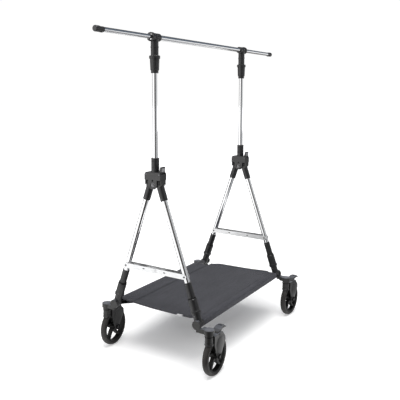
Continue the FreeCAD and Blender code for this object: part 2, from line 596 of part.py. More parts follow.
# ---------------------------------------------------------------------------- shelf
def make_shelf():
    """The side tubes, and the cloth that is drawn over both with a hem round each."""
    inner_face = "frame_spacing / 2 - barrel_inner"
    half = inner_face + " + side_tube_socket - 0.5"
    for end_name, end in ENDS.items():
        depth, height = knuckle(end)
        keep("side_tube_" + end_name, tube(
            "side_tube_" + end_name, "side_tube_diameter", "tube_wall", "2 * (%s)" % half,
            along_x(-size(half), height, depth)))
    depth, height = knuckle(1)
    made = body("shelf_sling", Placement(Vector(0, 0, height), Rotation()))
    reach = "leg_offset * cos(leg_angle) + knuckle_drop * sin(leg_angle)"
    for edge, half_length in ((reach, "shelf_hem_half"), ("shelf_notch", "shelf_half")):
        cloth = outline(sketch(made, "YZ_Plane"), [
            ("-(%s)" % edge, "hem_bore / 2"), (edge, "hem_bore / 2"),
            (edge, "hem_diameter / 2"), ("-(%s)" % edge, "hem_diameter / 2")])
        extrude(made, cloth, "Pad", "2 * " + half_length)
    for end in ENDS.values():
        hem = circle(sketch(made, "YZ_Plane"), "hem_diameter", "%d * (%s)" % (end, reach), "0")
        extrude(made, hem, "Pad", "2 * shelf_hem_half")
    for end in ENDS.values():
        hole = circle(sketch(made, "YZ_Plane"), "hem_bore", "%d * (%s)" % (end, reach), "0")
        extrude(made, hole, "Pocket", "4 * shelf_half")
    keep("shelf_sling", made)


# ---------------------------------------------------------------------------- castors
def castor_arm(label, side, end):
    """The arm: a knuckle disc on the foot's pin, a bar outwards and a round plate with king pin."""
    depth, height = knuckle(end)
    place = Placement(Vector(frame_x(side), depth, height), Rotation())
    made = body(label, place)
    top = size("arm_top") - height
    out, back = "%d * " % side, "%d * " % end
    level = str(round(top, 6))
    disc = circle(sketch(made, "YZ_Plane", out + "arm_disc_start"), "arm_disc_diameter")
    extrude(made, disc, "Pad", "arm_disc_end - arm_disc_start", toward=side)
    link = outline(sketch(made, "YZ_Plane", out + "arm_disc_start"), [
        ("0", level + " - arm_thickness"), (back + "(castor_reach - 10)", level + " - arm_thickness"),
        (back + "(castor_reach - 10)", level), ("0", level)])
    extrude(made, link, "Pad", "arm_disc_end - arm_disc_start", toward=side)
    bar = outline(sketch(made, "XY_Plane", level), [
        (out + "(-arm_bar_inner)", back + "arm_bar_start"),
        (out + "arm_disc_end", back + "arm_bar_start"),
        (out + "arm_disc_end", back + "castor_reach"),
        (out + "(-arm_bar_inner)", back + "castor_reach")])
    extrude(made, bar, "Pad", "arm_thickness", toward=-1)
    plate = circle(sketch(made, "XY_Plane", level), "arm_plate_diameter", out + "castor_offset",
                   back + "castor_reach")
    extrude(made, plate, "Pad", "arm_thickness", toward=-1)
    king = circle(sketch(made, "XY_Plane", level), "king_pin_diameter", out + "castor_offset",
                  back + "castor_reach")
    extrude(made, king, "Pad", "arm_thickness + king_pin_length", toward=-1)
    pin = circle(sketch(made, "YZ_Plane", out + "(arm_disc_start + 1)"), "hinge_pin_diameter")
    extrude(made, pin, "Pad", "hinge_pin_length", toward=-side)
    return made


def axle_place(side, end):
    """The middle of a wheel, with local X along the castor's trail: each castor has its own turn."""
    corner = "yaw_%s_%s" % ("front" if end < 0 else "back", "left" if side < 0 else "right")
    king = Placement(castor_spot(side, end), Rotation(Vector(0, 0, 1), size(corner)))
    return king.multiply(Placement(Vector(size("castor_trail"), 0, size("wheel_radius")), Rotation()))


def castor_fork(tag, side, end):
    """The fork: a housing round the king pin and two wide cheeks that come to a point below."""
    made = body("fork_" + tag, axle_place(side, end))
    cheeks = outline(sketch(made, "XZ_Plane"), [
        ("-12", "-8"), ("-3", "-13"), ("8", "-12"), ("14", "-2"), ("38", "26"), ("60", "48"),
        ("67", "64"), ("64", "84"), ("50", "98"), ("36", "fork_top"),
        ("cheek_front - castor_trail", "fork_top"), ("cheek_front - castor_trail", "cheek_foot")])
    extrude(made, cheeks, "Pad", "fork_width")
    round_edges(made, 5.0, lambda edge: runs_along(edge, "Y") and edge.CenterOfMass.x > -20)
    housing = circle(sketch(made, "XY_Plane", "housing_foot"), "housing_diameter", "-castor_trail")
    extrude(made, housing, "Pad", "housing_top - housing_foot", toward=1)
    lip = circle(sketch(made, "XY_Plane", "housing_foot"), "housing_diameter + 2 * housing_lip",
                 "-castor_trail")
    extrude(made, lip, "Pad", "housing_lip_height", toward=1)
    slot = circle(sketch(made, "XZ_Plane"), "2 * fork_slot_radius")
    extrude(made, slot, "Pocket", "fork_slot")
    throat = outline(sketch(made, "XZ_Plane"), [
        ("-6", "96"), ("70", "60"), ("70", "130"), ("-6", "130")])
    extrude(made, throat, "Pocket", "fork_slot")
    king = circle(sketch(made, "XY_Plane", "housing_top"), "king_pin_diameter + pin_gap",
                  "-castor_trail")
    extrude(made, king, "Pocket", "housing_top - housing_foot + 20", toward=-1)
    for face in (-1, 1):
        boss = circle(sketch(made, "XZ_Plane", "%d * (fork_slot / 2 + 1)" % face),
                      "axle_boss_diameter")
        extrude(made, boss, "Pad", "axle_boss_width / 2 - fork_slot / 2 - 1", toward=face)
    hole = circle(sketch(made, "XZ_Plane"), "axle_diameter + 2 * fit_gap")
    extrude(made, hole, "Pocket", "2 * axle_length")
    bore = circle(sketch(made, "XZ_Plane"), "pedal_pin_diameter + 2 * fit_gap", "pedal_pin_x",
                  "pedal_pin_z")
    extrude(made, bore, "Pocket", "2 * fork_width")
    return made


def cross_pin(label, diameter, length, head, place):
    """A pin across the fork, with a round head at each end."""
    half, shaft = length + " / 2", diameter + " / 2"
    inner = "%s - %s" % (half, "fork_pin_head")
    return turned(label, [
        ("0", "-" + half), (head, "-" + half), (head, "-(%s)" % inner), (shaft, "-(%s)" % inner),
        (shaft, inner), (head, inner), (head, half), ("0", half)], place)


def wheel_rim(tag, side, end):
    """The wheel's centre: a hub barrel, curved open spokes and the rim band."""
    made = body("wheel_rim_" + tag, axle_place(side, end))
    hub = circle(sketch(made, "XZ_Plane"), "2 * wheel_hub_radius")
    extrude(made, hub, "Pad", "wheel_hub_width")
    band = circle(circle(sketch(made, "XZ_Plane"), "2 * rim_radius"), "2 * rim_inner_radius")
    arm = sketch(made, "XZ_Plane")
    spoke_edges(arm)
    spoke = extrude(made, arm, "Pad", "spoke_width")
    ring = made.newObject("PartDesign::PolarPattern", made.Name + "_spokes")
    ring.Originals = [spoke]
    ring.Axis = (arm, ["N_Axis"])
    ring.Angle = 360
    ring.Occurrences = int(size("spoke_count"))
    ring.setExpression("Occurrences", formula("spoke_count"))
    made.Tip = ring
    extrude(made, band, "Pad", "rim_width")
    bore = circle(sketch(made, "XZ_Plane"), "axle_diameter + pin_gap")
    extrude(made, bore, "Pocket", "2 * wheel_hub_width")
    return made


def spoke_edges(made):
    """One spoke: two arcs that bow the same way, wider at the hub than at the rim."""
    root, tip = size("spoke_root") / 2, size("spoke_tip") / 2
    shift, bow = size("spoke_shift"), size("spoke_bow")
    inner = size("wheel_hub_radius - 3")
    outer = size("sqrt((rim_inner_radius + 5) ^ 2 - (spoke_shift + spoke_tip / 2) ^ 2)")
    lead = (Vector(inner, root, 0), Vector(outer, shift + tip, 0))
    trail = (Vector(inner, -root, 0), Vector(outer, shift - tip, 0))
    for start, finish in (lead, trail):
        middle = (start + finish) / 2 - Vector(0, bow, 0)
        made.addGeometry(Part.Arc(start, middle, finish), False)
    made.addGeometry(Part.LineSegment(lead[0], trail[0]), False)
    made.addGeometry(Part.LineSegment(lead[1], trail[1]), False)


def wheel_tyre(tag, side, end):
    """The tyre: a solid ring with rounded shoulders."""
    inner, half = "rim_radius + fit_gap", "wheel_width / 2"
    right = [(inner, "rim_width / 2"), ("rim_radius + 3", half + " - 1"), ("rim_radius + 8", half),
             ("wheel_radius - 5", half + " - 1.5"), ("wheel_radius - 1.5", half + " - 6"),
             ("wheel_radius", half + " - 11")]
    left = [(radius, "-(%s)" % across) for radius, across in reversed(right)]
    place = axle_place(side, end).multiply(Placement(Vector(), Rotation(Vector(1, 0, 0), 90)))
    return turned("wheel_tyre_" + tag, right + left, place)


def brake_pedal(tag, side, end):
    """The brake pedal: a hub on its pin between the cheeks and a tongue that rises to the rear."""
    made = body("brake_pedal_" + tag, axle_place(side, end))
    tongue = outline(sketch(made, "XZ_Plane"), [
        ("-1", "pedal_pin_z - 3"), ("-1", "pedal_pin_z + 3"), ("8", "pedal_pin_z + 11"),
        ("22", "pedal_pin_z + 19"), ("42", "pedal_top"), ("74", "pedal_top - 2"),
        ("pedal_reach", "pedal_top - 9"), ("pedal_reach - 2", "pedal_top - 13"),
        ("70", "pedal_top - 10"), ("42", "pedal_top - 10"), ("26", "pedal_pin_z + 6"),
        ("16", "pedal_pin_z - 3"), ("8", "pedal_pin_z - 6")])
    extrude(made, tongue, "Pad", "pedal_width")
    hole = circle(sketch(made, "XZ_Plane"), "pedal_pin_diameter + pin_gap", "pedal_pin_x",
                  "pedal_pin_z")
    extrude(made, hole, "Pocket", "2 * fork_width")
    round_edges(made, 1.5, lambda edge: runs_along(edge, "Y") and edge.CenterOfMass.x > 71)
    return made


def make_castors():
    for end_name, end in ENDS.items():
        for name, side in SIDES.items():
            tag = "%s_%s" % (end_name, name)
            keep("castor_arm_" + tag, castor_arm("castor_arm_" + tag, side, end))
            across = axle_place(side, end).multiply(
                Placement(Vector(), Rotation(Vector(1, 0, 0), 90)))
            pivot = axle_place(side, end).multiply(Placement(
                Vector(size("pedal_pin_x"), 0, size("pedal_pin_z")), Rotation(Vector(1, 0, 0), 90)))
            keep("castor_fork_" + tag, castor_fork("body_" + tag, side, end),
                 cross_pin("wheel_axle_" + tag, "axle_diameter", "axle_length", "8", across),
                 cross_pin("pedal_pin_" + tag, "pedal_pin_diameter", "pedal_pin_length", "4.5", pivot))
            keep("wheel_rim_" + tag, wheel_rim(tag, side, end))
            keep("wheel_tyre_" + tag, wheel_tyre(tag, side, end))
            keep("brake_pedal_" + tag, brake_pedal(tag, side, end))


# ---------------------------------------------------------------------------- document
make_rail()
make_uprights()
make_hubs()
make_legs()
for end_name, end in ENDS.items():
    for name, side in SIDES.items():
        bar = "spreader_%s_%s" % (end_name, name)
        keep(bar, spreader(bar, side, end))
make_shelf()
make_castors()
doc.recompute()

for item in doc.Objects:
    if "Invalid" in item.State or "Error" in item.State:
        raise RuntimeError("%s did not build: %s" % (item.Label, item.State))
    if item.TypeId == "PartDesign::Pocket" and item.Shape.Volume > item.BaseFeature.Shape.Volume - 1:
        raise RuntimeError(item.Label + " cuts nothing")
for label, item in nodes.items():
    if item.Shape.isNull() or not item.Shape.isValid():
        raise RuntimeError(label + " has no sound shape")
    if item.Label != label:
        raise RuntimeError(label + " is labelled " + item.Label)
    item.Shape.exportStep("parts/%s.step" % label)
print(len(nodes), "nodes")
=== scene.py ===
"""Looks for the valet stand: materials, shelf cloth, trim on the castors and hubs, and a studio.

Metres, in the frame of the CAD model: +X along the rail, +Y to the back, +Z up.
"""
import json
import math

import bmesh
import bpy
from mathutils import Matrix, Vector


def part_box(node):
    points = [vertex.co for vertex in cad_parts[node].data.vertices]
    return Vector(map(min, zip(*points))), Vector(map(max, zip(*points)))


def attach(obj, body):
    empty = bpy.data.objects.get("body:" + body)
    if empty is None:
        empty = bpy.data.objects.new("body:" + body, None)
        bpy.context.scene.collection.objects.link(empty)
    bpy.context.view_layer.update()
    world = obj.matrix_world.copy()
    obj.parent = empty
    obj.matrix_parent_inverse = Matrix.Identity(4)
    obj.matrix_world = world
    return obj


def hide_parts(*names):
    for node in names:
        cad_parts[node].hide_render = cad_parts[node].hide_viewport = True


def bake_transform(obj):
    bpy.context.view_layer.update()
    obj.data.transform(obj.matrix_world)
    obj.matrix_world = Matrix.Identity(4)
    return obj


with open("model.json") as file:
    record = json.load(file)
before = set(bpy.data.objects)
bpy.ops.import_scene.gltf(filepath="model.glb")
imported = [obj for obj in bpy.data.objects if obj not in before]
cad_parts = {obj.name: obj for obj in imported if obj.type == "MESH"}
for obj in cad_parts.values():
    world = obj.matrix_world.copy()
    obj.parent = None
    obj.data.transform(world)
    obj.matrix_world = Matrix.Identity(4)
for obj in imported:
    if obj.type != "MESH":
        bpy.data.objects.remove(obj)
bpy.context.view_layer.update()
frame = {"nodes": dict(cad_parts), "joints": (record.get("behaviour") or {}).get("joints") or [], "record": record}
NODES = frame["nodes"]
JOINTS = {joint["name"]: joint for joint in frame["joints"]}
SIDES = {"left": -1, "right": 1}
ENDS = {"front": -1, "back": 1}

# as in the CAD model; a leg's axis passes the hub pivot by the offset
HUB_HEIGHT = JOINTS["fold"]["pos_m"][2]
LEG_ANGLE = math.radians(JOINTS["fold"]["range_deg"][1] / 2)
LEG_OFFSET = 0.0268
BODIES = frame["record"]["behaviour"]["bodies"]
HUB_BODY = next(body for body, names in BODIES.items() if "hub_sockets" in names)
KNUCKLE = Vector(JOINTS["castor_arm_back_left_hinge"]["pos_m"])
FRAME_HALF = 0.45
ARM_TOP = 0.251


# ---------------------------------------------------------------------------- materials
class Shader:
    """A material under construction: its nodes, and shorthands for adding more."""

    def __init__(self, name):
        self.material = bpy.data.materials.new(name)
        self.material.use_nodes = True
        self.tree = self.material.node_tree
        self.surface = self.tree.nodes["Principled BSDF"]
        self.place = self.add("ShaderNodeTexCoord").outputs["Object"]

    def add(self, kind, **settings):
        node = self.tree.nodes.new(kind)
        for key, value in settings.items():
            setattr(node, key, value)
        return node

    def link(self, output, target):
        self.tree.links.new(output, target)

    def constant(self, **values):
        """Sets the shader's own sockets: Base_Color stands for Base Color."""
        for name, value in values.items():
            self.surface.inputs[name.replace("_", " ")].default_value = value

    def stretched(self, scale, origin=(0, 0, 0)):
        """Coordinates about an origin, scaled by three numbers."""
        node = self.add("ShaderNodeMapping", vector_type="TEXTURE")
        node.inputs["Location"].default_value = origin
        node.inputs["Scale"].default_value = [1 / number for number in scale]
        self.link(self.place, node.inputs["Vector"])
        return node.outputs["Vector"]

    def noise(self, scale, detail=3, vector=None, roughness=0.5):
        node = self.add("ShaderNodeTexNoise")
        node.inputs["Scale"].default_value = scale
        node.inputs["Detail"].default_value = detail
        node.inputs["Roughness"].default_value = roughness
        self.link(vector or self.place, node.inputs["Vector"])
        return node.outputs["Fac"]

    def wave(self, scale, direction, distortion):
        node = self.add("ShaderNodeTexWave", bands_direction=direction)
        node.inputs["Scale"].default_value = scale
        node.inputs["Distortion"].default_value = distortion
        self.link(self.place, node.inputs["Vector"])
        return node.outputs["Fac"]

    def span(self, value, low, high, start=0.0, finish=1.0):
        """Maps the stretch start to finish of a value onto low to high."""
        node = self.add("ShaderNodeMapRange")
        for name, number in (("From Min", start), ("From Max", finish),
                             ("To Min", low), ("To Max", high)):
            node.inputs[name].default_value = number
        self.link(value, node.inputs["Value"])
        return node.outputs["Result"]

    def combine(self, first, second, operation="ADD"):
        """Adds two values, or multiplies them: each is a number or another node's output."""
        node = self.add("ShaderNodeMath", operation=operation)
        for number, value in enumerate((first, second)):
            if isinstance(value, (int, float)):
                node.inputs[number].default_value = value
            else:
                self.link(value, node.inputs[number])
        return node.outputs["Value"]

    def mix(self, amount, dark, light):
        """A colour between two, each three numbers or another node's output."""
        node = self.add("ShaderNodeMix", data_type="RGBA")
        for name, colour in (("A", dark), ("B", light)):
            if isinstance(colour, tuple):
                node.inputs[name].default_value = (*colour, 1)
            else:
                self.link(colour, node.inputs[name])
        self.link(amount, node.inputs["Factor"])
        return node.outputs["Result"]

    def tint(self, amount, dark, light):
        """Colours the surface between two colours."""
        self.link(self.mix(amount, dark, light), self.surface.inputs["Base Color"])

    def paint_top_sheen(self, colour, dust, patches):
        """Paints a paler sheen over the colour on the faces that look up at rest: the colour passed as dust is a
        painted reflection of the sky above them.
        """
        split = self.add("ShaderNodeSeparateXYZ")
        self.link(self.add("ShaderNodeTexCoord").outputs["Normal"], split.inputs["Vector"])
        upward = self.span(split.outputs["Z"], 0.0, 1.0, 0.80, 0.97)
        share = self.combine(upward, self.span(patches, 0.75, 1.0), "MULTIPLY")
        self.link(self.mix(share, colour, dust), self.surface.inputs["Base Color"])

    def rough(self, amount, low, high):
        self.link(self.span(amount, low, high), self.surface.inputs["Roughness"])

    def bump(self, height, depth, strength, under=None):
        """Relief of a given depth in metres, laid over another relief."""
        node = self.add("ShaderNodeBump")
        node.inputs["Strength"].default_value = strength
        node.inputs["Distance"].default_value = depth
        self.link(height, node.inputs["Height"])
        if under:
            self.link(under, node.inputs["Normal"])
        self.link(node.outputs["Normal"], self.surface.inputs["Normal"])
        return node.outputs["Normal"]


def chrome():
    """Bright plated tube: faint polishing lines and a haze that changes along the tube."""
    made = Shader("chrome_tube")
    made.constant(Metallic=1.0)
    haze = made.noise(9, detail=4)
    lines = made.noise(260, detail=2, vector=made.stretched((1, 1, 0.06)))
    made.tint(haze, (0.64, 0.645, 0.655), (0.76, 0.765, 0.77))
    made.rough(made.combine(made.span(haze, 0.0, 0.7), made.span(lines, 0.0, 0.3)), 0.035, 0.10)
    made.bump(lines, 0.00001, 0.25)
    return made.material


def satin_steel():
    """Brushed spreader bars: grain along the bar, duller in the hollows of the noise."""
    made = Shader("satin_steel")
    made.constant(Metallic=1.0)
    grain = made.noise(420, detail=3, vector=made.stretched((1, 0.05, 1)))
    cloud = made.noise(30, detail=3)
    made.tint(cloud, (0.50, 0.505, 0.51), (0.64, 0.645, 0.65))
    made.rough(made.combine(made.span(grain, 0.0, 0.5), made.span(cloud, 0.0, 0.5)), 0.24, 0.42)
    made.bump(grain, 0.00004, 0.5)
    return made.material


def dark_metal(name, dark, light, low, high):
    """Pins, screws and painted tube: a thin coat with a fine orange-peel."""
    made = Shader(name)
    made.constant(Metallic=0.85)
    peel = made.noise(700, detail=2)
    cloud = made.noise(60, detail=3)
    made.tint(cloud, dark, light)
    made.rough(cloud, low, high)
    made.bump(peel, 0.00004, 0.4)
    return made.material


def moulded(name, dark, light, low, high, top_sheen=(0.02, 0.02, 0.022), specular=0.46):
    """Black moulded nylon: a spark-eroded grain, flow marks, scuffs, and top faces painted paler as a reflection
    of the sky above them.
    """
    made = Shader(name)
    made.constant(Specular_IOR_Level=specular)
    pits = made.noise(1500, detail=3, roughness=0.65)
    flow = made.noise(24, detail=4, roughness=0.6)
    scuff = made.span(made.noise(130, detail=5, roughness=0.7), 0.0, 1.0, 0.60, 0.74)
    marks = made.combine(made.span(flow, 0.0, 0.75), made.span(scuff, 0.0, 0.25))
    # painted reflection: faces that look up are mixed towards a paler colour that stands in for the sky they
    # mirror
    made.paint_top_sheen(made.mix(marks, dark, light), top_sheen, flow)
    made.rough(made.combine(made.span(flow, 0.0, 0.5), made.span(pits, 0.0, 0.5)), low, high)
    made.bump(pits, 0.00005, 0.6)
    return made.material


def rubber(name, centre):
    """Tyre rubber: matt, with fine moulding rings about the axle and a little dust."""
    made = Shader(name)
    made.constant(Specular_IOR_Level=0.35)
    rings = made.add("ShaderNodeTexWave", wave_type="RINGS", rings_direction="Y")
    rings.inputs["Scale"].default_value = 130
    made.link(made.stretched((1, 1, 1), centre), rings.inputs["Vector"])
    dust = made.noise(45, detail=5, roughness=0.65)
    pores = made.noise(1100, detail=2)
    made.tint(dust, (0.007, 0.0062, 0.0056), (0.021, 0.0185, 0.0165))
    made.rough(dust, 0.42, 0.66)
    under = made.bump(rings.outputs["Fac"], 0.00006, 0.5)
    made.bump(pores, 0.00005, 0.5, under)
    return made.material


def paint(material, *names):
    """Gives CAD nodes one material on every slot."""
    for name in names:
        slots = NODES[name].material_slots
        if not slots:
            NODES[name].data.materials.append(material)
        for place in slots:
            place.material = material


def named(start):
    return [name for name in NODES if name.startswith(start)]


def cloth():
    """Charcoal polyester: a plain weave, heathered yarns, slubs along it and a soft sheen."""
    made = Shader("charcoal_fabric")
    made.constant(Specular_IOR_Level=0.2, Sheen_Weight=0.12, Sheen_Roughness=0.45)
    warp, weft = made.wave(330, "X", 0.4), made.wave(330, "Y", 0.4)
    yarns = made.combine(warp, weft, "MULTIPLY")
    heather = made.noise(900, detail=2, vector=made.stretched((0.25, 1, 1)))
    slub = made.noise(60, detail=4, vector=made.stretched((0.12, 1, 1)), roughness=0.65)
    cloud = made.noise(6, detail=3)
    shade = made.combine(made.span(heather, 0.0, 0.45, 0.25, 0.75),
                         made.span(slub, 0.0, 0.4, 0.25, 0.75))
    made.tint(made.combine(shade, made.span(cloud, 0.0, 0.15)),
              (0.016, 0.0165, 0.021), (0.058, 0.059, 0.071))
    made.rough(heather, 0.74, 0.92)
    under = made.bump(yarns, 0.00022, 0.8)
    made.bump(slub, 0.00025, 0.5, under)
    return made.material


def plain(name, dark, light, rough, scale=300, depth=0.00003, **values):
    """A small piece of trim: two close tones and a fine relief."""
    made = Shader(name)
    made.constant(**values)
    spots = made.noise(scale, detail=3)
    made.tint(spots, dark, light)
    made.rough(spots, rough, rough + 0.14)
    made.bump(spots, depth, 0.5)
    return made.material


PLASTIC = moulded("black_plastic", (0.0045, 0.0045, 0.005), (0.012, 0.012, 0.013), 0.30, 0.46)
# painted reflection: the bluish grey given last is the sky seen in the castors' top faces, painted into their
# colour
CASTOR_PLASTIC = moulded("castor_plastic", (0.006, 0.0058, 0.0056), (0.015, 0.0145, 0.014),
                         0.32, 0.48, (0.105, 0.110, 0.125))
WHEEL_PLASTIC = moulded("wheel_plastic", (0.0022, 0.0022, 0.0022), (0.006, 0.006, 0.006),
                        0.40, 0.55, (0.006, 0.006, 0.006), specular=0.15)
# painted shade: a near-black, barely reflecting colour for the gaps, slots, grooves and notch backs where shade
# falls, also used on the axle cups and the socket domes
BLACK_TRIM_AND_SHADE = plain("black_trim_and_painted_shade", (0.002, 0.002, 0.002), (0.005, 0.005, 0.005), 0.5,
             Specular_IOR_Level=0.1)
# painted reflection: the arm's cap is a pale bluish grey that stands in for the sky it mirrors
CAP = plain("castor_cap_painted_sheen", (0.105, 0.110, 0.125), (0.135, 0.140, 0.158), 0.26)
LEVER_PAD = plain("lever_pad", (0.15, 0.15, 0.155), (0.20, 0.20, 0.205), 0.40)
SCREW = plain("screw_steel", (0.20, 0.20, 0.205), (0.32, 0.32, 0.325), 0.24, Metallic=1.0)
# the thread is darker than the cloth, partly its own colour and partly painted shade that makes the seams read as
# dark grooves
THREAD = plain("thread", (0.008, 0.008, 0.009), (0.016, 0.016, 0.018), 0.7, 2500)
LABEL = plain("blank_label", (0.42, 0.42, 0.43), (0.54, 0.54, 0.55), 0.75, 1400, 0.00006)
CLOTH = cloth()
CHROME = chrome()
STEEL = satin_steel()
FASTENER = dark_metal("fasteners", (0.06, 0.06, 0.065), (0.16, 0.16, 0.165), 0.28, 0.44)
BLACK_TUBE = plain("black_tube", (0.040, 0.040, 0.044), (0.060, 0.060, 0.066), 0.34)

for start in ("rail_tube", "rail_extension", "upright_left", "upright_right", "leg_front",
              "leg_back"):
    paint(CHROME, *named(start))
for start in ("rail_end_cap", "rail_bracket_left", "rail_bracket_right", "upright_ferrules",
              "top_sleeve", "hub_sockets", "hub_outer", "hub_inner", "hub_lever", "front_leg",
              "back_leg", "leg_sleeve", "front_feet", "back_feet"):
    paint(PLASTIC, *named(start))
for start in ("castor_fork", "castor_arm", "brake_pedal"):
    paint(CASTOR_PLASTIC, *named(start))
paint(WHEEL_PLASTIC, *named("wheel_rim"))
paint(STEEL, *named("spreader"))
paint(FASTENER, "rail_bracket_screws", "hub_fasteners")
paint(BLACK_TUBE, *named("side_tube"))


# ---------------------------------------------------------------------------- edges of CAD pieces
EDGE_WIDTH = 0.0009
FLAT_WITHIN, STEEP_FROM = math.radians(0.6), math.radians(32)
SOFT_EDGED = ("hub_", "castor_fork", "castor_arm", "brake_pedal", "rail_bracket_l",
              "rail_bracket_r", "front_feet", "back_feet", "front_leg_heads", "back_leg_heads",
              "wheel_rim")


def soften(name):
    """Rounds a CAD node's sharp edges: flat faces are joined, then every steep edge is bevelled."""
    piece = NODES[name]
    flat = piece.modifiers.new("flat_faces", "DECIMATE")
    flat.decimate_type = "DISSOLVE"
    flat.angle_limit = FLAT_WITHIN
    round_off = piece.modifiers.new("rounded_edges", "BEVEL")
    round_off.width = EDGE_WIDTH
    round_off.segments = 2
    round_off.limit_method = "ANGLE"
    round_off.angle_limit = STEEP_FROM
    round_off.miter_outer = "MITER_ARC"
    round_off.harden_normals = True
    for face in piece.data.polygons:
        face.use_smooth = True


# ---------------------------------------------------------------------------- trim pieces
SUNK = 0.0004  # how deep a bit of trim sits in the surface below it, so that no gap shows


class Piece:
    """A mesh under construction from several solid bits, in the frame of the whole object."""

    def __init__(self):
        self.mesh = bmesh.new()

    def turned(self, profile, place, segments=40):
        """A round bit about local Z; the profile, radius and height, is pole to pole or closed."""
        rings = []
        for radius, height in profile:
            if radius < 1e-6:
                rings.append([self.mesh.verts.new(place @ Vector((0, 0, height)))])
                continue
            rings.append([self.mesh.verts.new(place @ Vector((
                radius * math.cos(math.tau * step / segments),
                radius * math.sin(math.tau * step / segments), height)))
                for step in range(segments)])
        closed = profile[0][0] > 1e-6 and profile[-1][0] > 1e-6
        for low, high in zip(rings, rings[1:] + rings[:1] if closed else rings[1:]):
            for step in range(segments):
                after = (step + 1) % segments
                corners = [low[step % len(low)], low[after % len(low)],
                           high[after % len(high)], high[step % len(high)]]
                self.mesh.faces.new([spot for number, spot in enumerate(corners)
                                     if spot not in corners[:number]])

    def plate(self, outline, thickness, place, edge):
        """A flat bit on local XY that rises along Z, its upper rim rounded off in two steps."""
        middle = sum((Vector((*spot, 0)) for spot in outline), Vector()) / len(outline)
        radius = max((Vector((*spot, 0)) - middle).length for spot in outline)
        layers = ((0.0, 0.0), (thickness - edge, 0.0), (thickness - 0.3 * edge, 0.3 * edge),
                  (thickness, edge))
        rings = []
        for height, inset in layers:
            scale = 1 - inset / radius
            rings.append([self.mesh.verts.new(
                place @ (middle + (Vector((*spot, 0)) - middle) * scale + Vector((0, 0, height))))
                for spot in outline])
        for low, high in zip(rings, rings[1:]):
            for step in range(len(outline)):
                after = (step + 1) % len(outline)
                self.mesh.faces.new((low[step], low[after], high[after], high[step]))
        self.mesh.faces.new(rings[-1])
        self.mesh.faces.new(list(reversed(rings[0])))

    def finish(self, name, material, slot, body=None, sharp=38):
        """The finished object: its faces all turned outwards, smooth but for its steep edges."""
        bmesh.ops.recalc_face_normals(self.mesh, faces=self.mesh.faces)
        data = bpy.data.meshes.new(name)
        self.mesh.to_mesh(data)
        self.mesh.free()
        for face in data.polygons:
            face.use_smooth = True
        data.set_sharp_from_angle(angle=math.radians(sharp))
        data.materials.append(material)
        made = bpy.data.objects.new(name, data)
        bpy.context.scene.collection.objects.link(made)
        if body:
            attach(made, body)
        return made


def facing(spot, direction, upright=(0, 0, 1)):
    """A place whose local Z points in a direction, with local Y as near upright as can be."""
    ahead = Vector(direction).normalized()
    across = Vector(upright).cross(ahead)
    if across.length < 1e-4:
        across = Vector((0, 1, 0)).cross(ahead)
    across.normalize()
    turned = Matrix((across, ahead.cross(across), ahead)).transposed().to_4x4()
    return Matrix.Translation(spot) @ turned


def dome(radius, height):
    """The profile of a rivet head, from its rim to its crown, sunk a little into the surface."""
    steps = [math.radians(angle) for angle in (0, 22, 45, 66, 90)]
    rim = [(radius * math.cos(angle), height * math.sin(angle)) for angle in steps[:-1]]
    return [(0, -0.0006), (radius, -0.0006)] + rim + [(0, height)]


def band(inner, outer, low, high, edge=0.0005):
    """The profile of a ring with its four corners taken off."""
    return [(inner, low + edge), (inner + edge, low), (outer - edge, low), (outer, low + edge),
            (outer, high - edge), (outer - edge, high), (inner + edge, high), (inner, high - edge)]


def rectangle(left, bottom, right, top):
    return [(left, bottom), (right, bottom), (right, top), (left, top)]


def oval(length, width):
    """A slot's outline: two half circles and the straights between them."""
    steps, spots = 8, []
    for middle, start in ((length / 2 - width / 2, -90), (width / 2 - length / 2, 90)):
        for step in range(steps + 1):
            angle = math.radians(start + 180 * step / steps)
            spots.append((middle + width / 2 * math.cos(angle), width / 2 * math.sin(angle)))
    return spots


def teardrop(small, big, apart):
    """The hull of two circles: a small one at the origin and a big one further up local Y."""
    lean = math.asin((big - small) / apart)
    steps, spots = 20, []
    for centre, radius, start, finish in (
            (0, small, math.pi + lean, math.tau - lean), (apart, big, -lean, math.pi + lean)):
        for step in range(steps + 1):
            angle = start + (finish - start) * step / steps
            spots.append((radius * math.cos(angle), centre + radius * math.sin(angle)))
    return spots


# ---------------------------------------------------------------------------- castors
WHEEL_RADIUS = 0.100
TRAIL = 0.055  # from the king pin back to the axle
CHEEK = 0.025  # from the wheel's middle out to a fork cheek's face
CHEEK_LEAN = Vector((0.016, 0, 0.060))  # from the axle up to the middle of the cheek's head
PANEL_FOOT, PANEL_HEAD, PANEL_RISE = 0.0155, 0.0385, 0.0019  # a cheek panel's radii and height
CUP_INNER, CUP_OUTER, CUP_HEIGHT, CUP_SEAT = 0.0088, 0.0142, 0.0070, 0.0034
# painted shade: near-black bands round the fork's housing draw the dark grooves on it
HOUSING_GROOVE_SHADES = ((0.0202, 0.0222, 0.1150, 0.1180),  # inner and outer radius, foot and top
                 (0.0202, 0.0216, 0.0890, 0.0905))
ARM_CAP = [(0, 0.0), (0.0212, 0.0), (0.0212, 0.0008), (0.0204, 0.0014), (0.0172, 0.0015),
           (0.0166, 0.0009), (0.0158, 0.0009), (0.0152, 0.0015), (0, 0.0017)]
ARM_CAP_SUNK = 0.0002
PEDAL_RIBS, RIB_STEP, RIB_FALL = 4, 0.006, 0.0004
RIB_START, RIB_HEIGHT = 0.056, 0.1322
RIB_LENGTH, RIB_WIDTH, RIB_RISE = 0.026, 0.0024, 0.0014


def castor_place(end, side):
    """The middle of a wheel: local X along the trail, local Y along the axle, local Z up."""
    hub = Vector(JOINTS["wheel_%s_%s_spin" % (end, side)]["pos_m"])
    king = Vector(JOINTS["castor_%s_%s_swivel" % (end, side)]["pos_m"])
    trail = Vector((hub.x - king.x, hub.y - king.y, 0)).normalized()
    axle = Vector((0, 0, 1)).cross(trail)
    turned = Matrix((trail, axle, Vector((0, 0, 1)))).transposed().to_4x4()
    return Matrix.Translation(hub) @ turned


